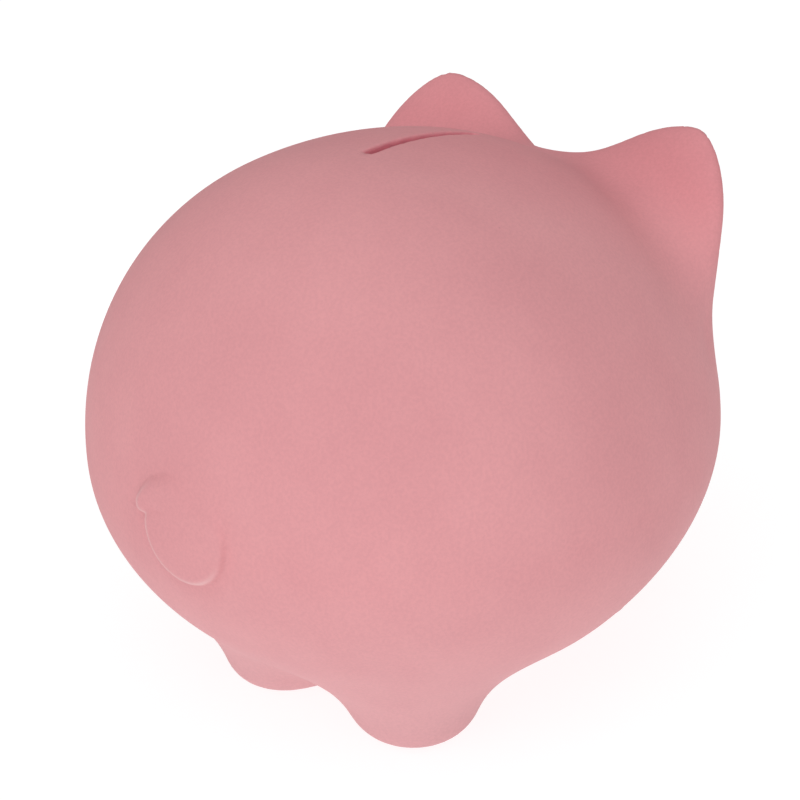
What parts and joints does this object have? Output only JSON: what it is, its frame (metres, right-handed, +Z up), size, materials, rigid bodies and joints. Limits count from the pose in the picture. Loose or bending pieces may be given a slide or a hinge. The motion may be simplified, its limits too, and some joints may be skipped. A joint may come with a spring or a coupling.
{
  "type": "pig coin bank",
  "caption": "Round ceramic pig standing on short flared legs, hollow, with a lengthwise coin slot in its back and a soft pull-out stopper in its belly.",
  "frame": {"origin": "on the table, under the middle of the bank's bounding box", "axes": "+Z up; the snout points to -Y and the tail to +Y; +X is the pig's left side"},
  "size_m": [0.1358, 0.152, 0.1239],
  "materials": {
    "matte_ceramic": "matte",
    "stopper_vinyl": "matte",
    "black_enamel": "gloss",
    "pad_felt": "matte"
  },
  "bodies": {
    "bank": {"ceramic_body": "matte_ceramic", "eye_left": "black_enamel", "eye_right": "black_enamel", "foot_pad_front_left": "pad_felt", "foot_pad_rear_left": "pad_felt", "foot_pad_front_right": "pad_felt", "foot_pad_rear_right": "pad_felt"},
    "stopper": {"belly_stopper": "stopper_vinyl"},
    "tab": {"pull_tab": "stopper_vinyl"}
  },
  "joints": [
    {"name": "stopper_pull", "type": "slide", "parent": "bank", "child": "stopper", "axis": [0, 0, -1], "range_m": [0, 0.03]},
    {"name": "pull_tab_hinge", "type": "hinge", "parent": "stopper", "child": "tab", "pos_m": [0, 0.00805, 0.0096], "axis": [1, 0, 0], "range_deg": [0, 90], "stiffness_Nm_per_rad": 0.001}
  ]
}
